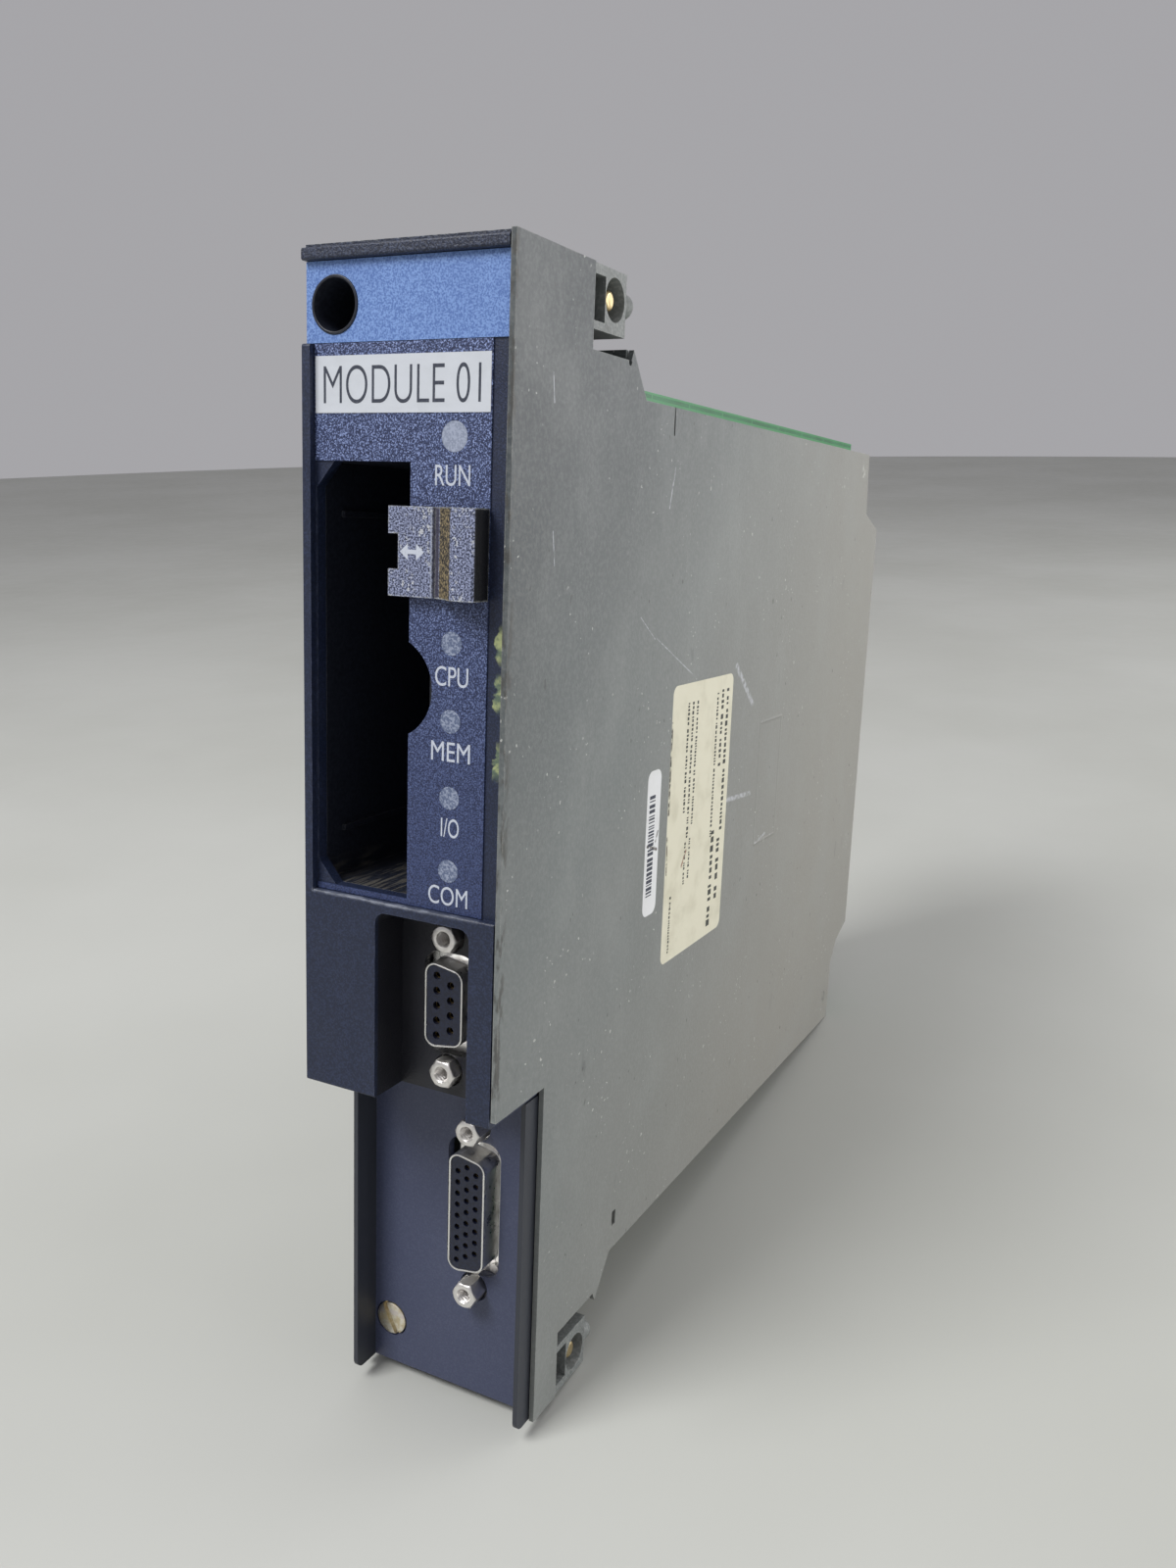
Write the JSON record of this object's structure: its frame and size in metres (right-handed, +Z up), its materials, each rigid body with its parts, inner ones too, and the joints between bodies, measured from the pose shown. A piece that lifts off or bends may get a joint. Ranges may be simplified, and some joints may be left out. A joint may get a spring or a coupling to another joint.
{
  "type": "plc module",
  "caption": "Narrow rack-mounted controller processor module: sheet covers, navy bezel with status lamps, memory cartridge bay with sliding latch, two serial ports, captive screws.",
  "frame": {"origin": "under the middle of the module, at the level of its lowest edge", "axes": "+X across the module to the right as seen from the front, +Y from the front face back into the rack, +Z up"},
  "size_m": [0.04, 0.2178, 0.2095],
  "materials": {
    "cover_paint": "mid grey satin paint on steel sheet, scuffed",
    "cap_plastic": "dark grained plastic with a worn pale edge",
    "bezel_plastic": "navy moulded plastic, fine matt grain",
    "band_blue": "mid blue printed band, fine grain",
    "film": "navy polyester film, coarse satin grain",
    "title_paper": "off-white printed label",
    "lamp_lens": "pale lilac-grey translucent window",
    "led_epoxy": "clear moulded epoxy",
    "pocket_plastic": "black moulded plastic",
    "socket_plastic": "black glass-filled plastic",
    "latch_plastic": "black moulded plastic, worn pale on its edges",
    "spring_steel": "bright spring steel",
    "shell_nickel": "nickel plated pressed steel",
    "insulator_blue": "dark blue-black moulded insulator",
    "contact_gold": "gold flashed contacts",
    "nut_nickel": "bright nickel plate",
    "port_body": "black moulded plastic",
    "lug_cast": "grey glass-filled moulding, slightly rough",
    "brass": "turned brass",
    "screw_zinc": "yellow passivated zinc plate",
    "board_green": "green solder resist on glass epoxy",
    "chip_black": "black moulded package",
    "capacitor_sleeve": "dark blue sleeve",
    "crystal_can": "drawn steel can",
    "connector_grey": "light grey glass-filled plastic",
    "spec_paper": "cream printed label, slightly soiled",
    "bar_paper": "white printed sticker"
  },
  "bodies": {
    "module": {"right_cover": "cover_paint", "left_cover": "cover_paint", "top_cap": "cap_plastic", "front_bezel": "bezel_plastic", "lower_panel": "bezel_plastic", "name_band": "band_blue", "indicator_overlay": "film", "title_label": "title_paper", "run_lamp": "lamp_lens", "processor_lamp": "lamp_lens", "memory_lamp": "lamp_lens", "io_lamp": "lamp_lens", "link_lamp": "lamp_lens", "status_leds": "led_epoxy", "cartridge_pocket": "pocket_plastic", "screw_sleeve": "pocket_plastic", "cartridge_socket": "socket_plastic", "riser_header": "socket_plastic", "latch_spring": "spring_steel", "port9_shell": "shell_nickel", "port26_shell": "shell_nickel", "port9_insulator": "insulator_blue", "port26_insulator": "insulator_blue", "port9_contacts": "contact_gold", "port26_contacts": "contact_gold", "socket_contacts": "contact_gold", "rear_contacts": "contact_gold", "port9_nuts": "nut_nickel", "port26_nuts": "nut_nickel", "port26_rivets": "nut_nickel", "cover_rivets": "nut_nickel", "board_spacers": "nut_nickel", "port9_body": "port_body", "port26_body": "port_body", "upper_lug": "lug_cast", "lower_lug": "lug_cast", "lug_pins": "brass", "main_board": "board_green", "riser_board": "board_green", "indicator_board": "board_green", "processor_chip": "chip_black", "memory_chips": "chip_black", "logic_chips": "chip_black", "capacitors": "capacitor_sleeve", "clock_crystal": "crystal_can", "rear_connector_upper": "connector_grey", "rear_connector_lower": "connector_grey", "spec_label": "spec_paper", "barcode_label": "bar_paper"},
    "latch": {"cartridge_latch": "latch_plastic", "latch_shoe": "latch_plastic"},
    "upper_screw": {"upper_screw": "screw_zinc", "upper_clip": "spring_steel"},
    "lower_screw": {"lower_screw": "screw_zinc", "lower_clip": "spring_steel"}
  },
  "joints": [
    {"name": "latch_slide", "type": "slide", "parent": "module", "child": "latch", "axis": [1, 0, 0], "range_m": [0, 0.003]},
    {"name": "upper_screw_turn", "type": "hinge", "parent": "module", "child": "upper_screw", "pos_m": [-0.0142, -0.0874, 0.2002], "axis": [0, 1, 0], "continuous": true},
    {"name": "lower_screw_turn", "type": "hinge", "parent": "module", "child": "lower_screw", "pos_m": [-0.0142, -0.0874, 0.0093], "axis": [0, 1, 0], "continuous": true}
  ]
}
